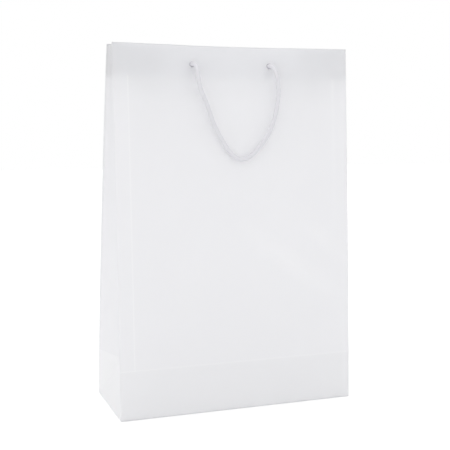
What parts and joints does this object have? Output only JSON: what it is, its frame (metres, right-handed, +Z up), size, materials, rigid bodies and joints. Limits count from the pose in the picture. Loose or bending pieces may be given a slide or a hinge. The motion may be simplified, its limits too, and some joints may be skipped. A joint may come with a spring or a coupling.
{
  "type": "plastic carrier bag",
  "caption": "Frosted plastic carrier bag with a flat base, inward-folding side gussets, a turned-in hem and soft cord handles tied through punched holes.",
  "frame": {"origin": "middle of the base's underside, on the surface that the bag stands on", "axes": "+Z up towards the mouth, +X to the right of someone who looks at the front, -Y towards that person"},
  "size_m": [0.3, 0.125, 0.442],
  "materials": {
    "frosted_sheet": "frosted translucent white polypropylene sheet",
    "handle_cord": "soft twisted white cord"
  },
  "bodies": {
    "root": {"bag_body": "frosted_sheet", "front_handle_cord": "handle_cord", "front_left_knot": "handle_cord", "front_right_knot": "handle_cord", "back_handle_cord": "handle_cord", "back_left_knot": "handle_cord", "back_right_knot": "handle_cord"}
  },
  "joints": []
}
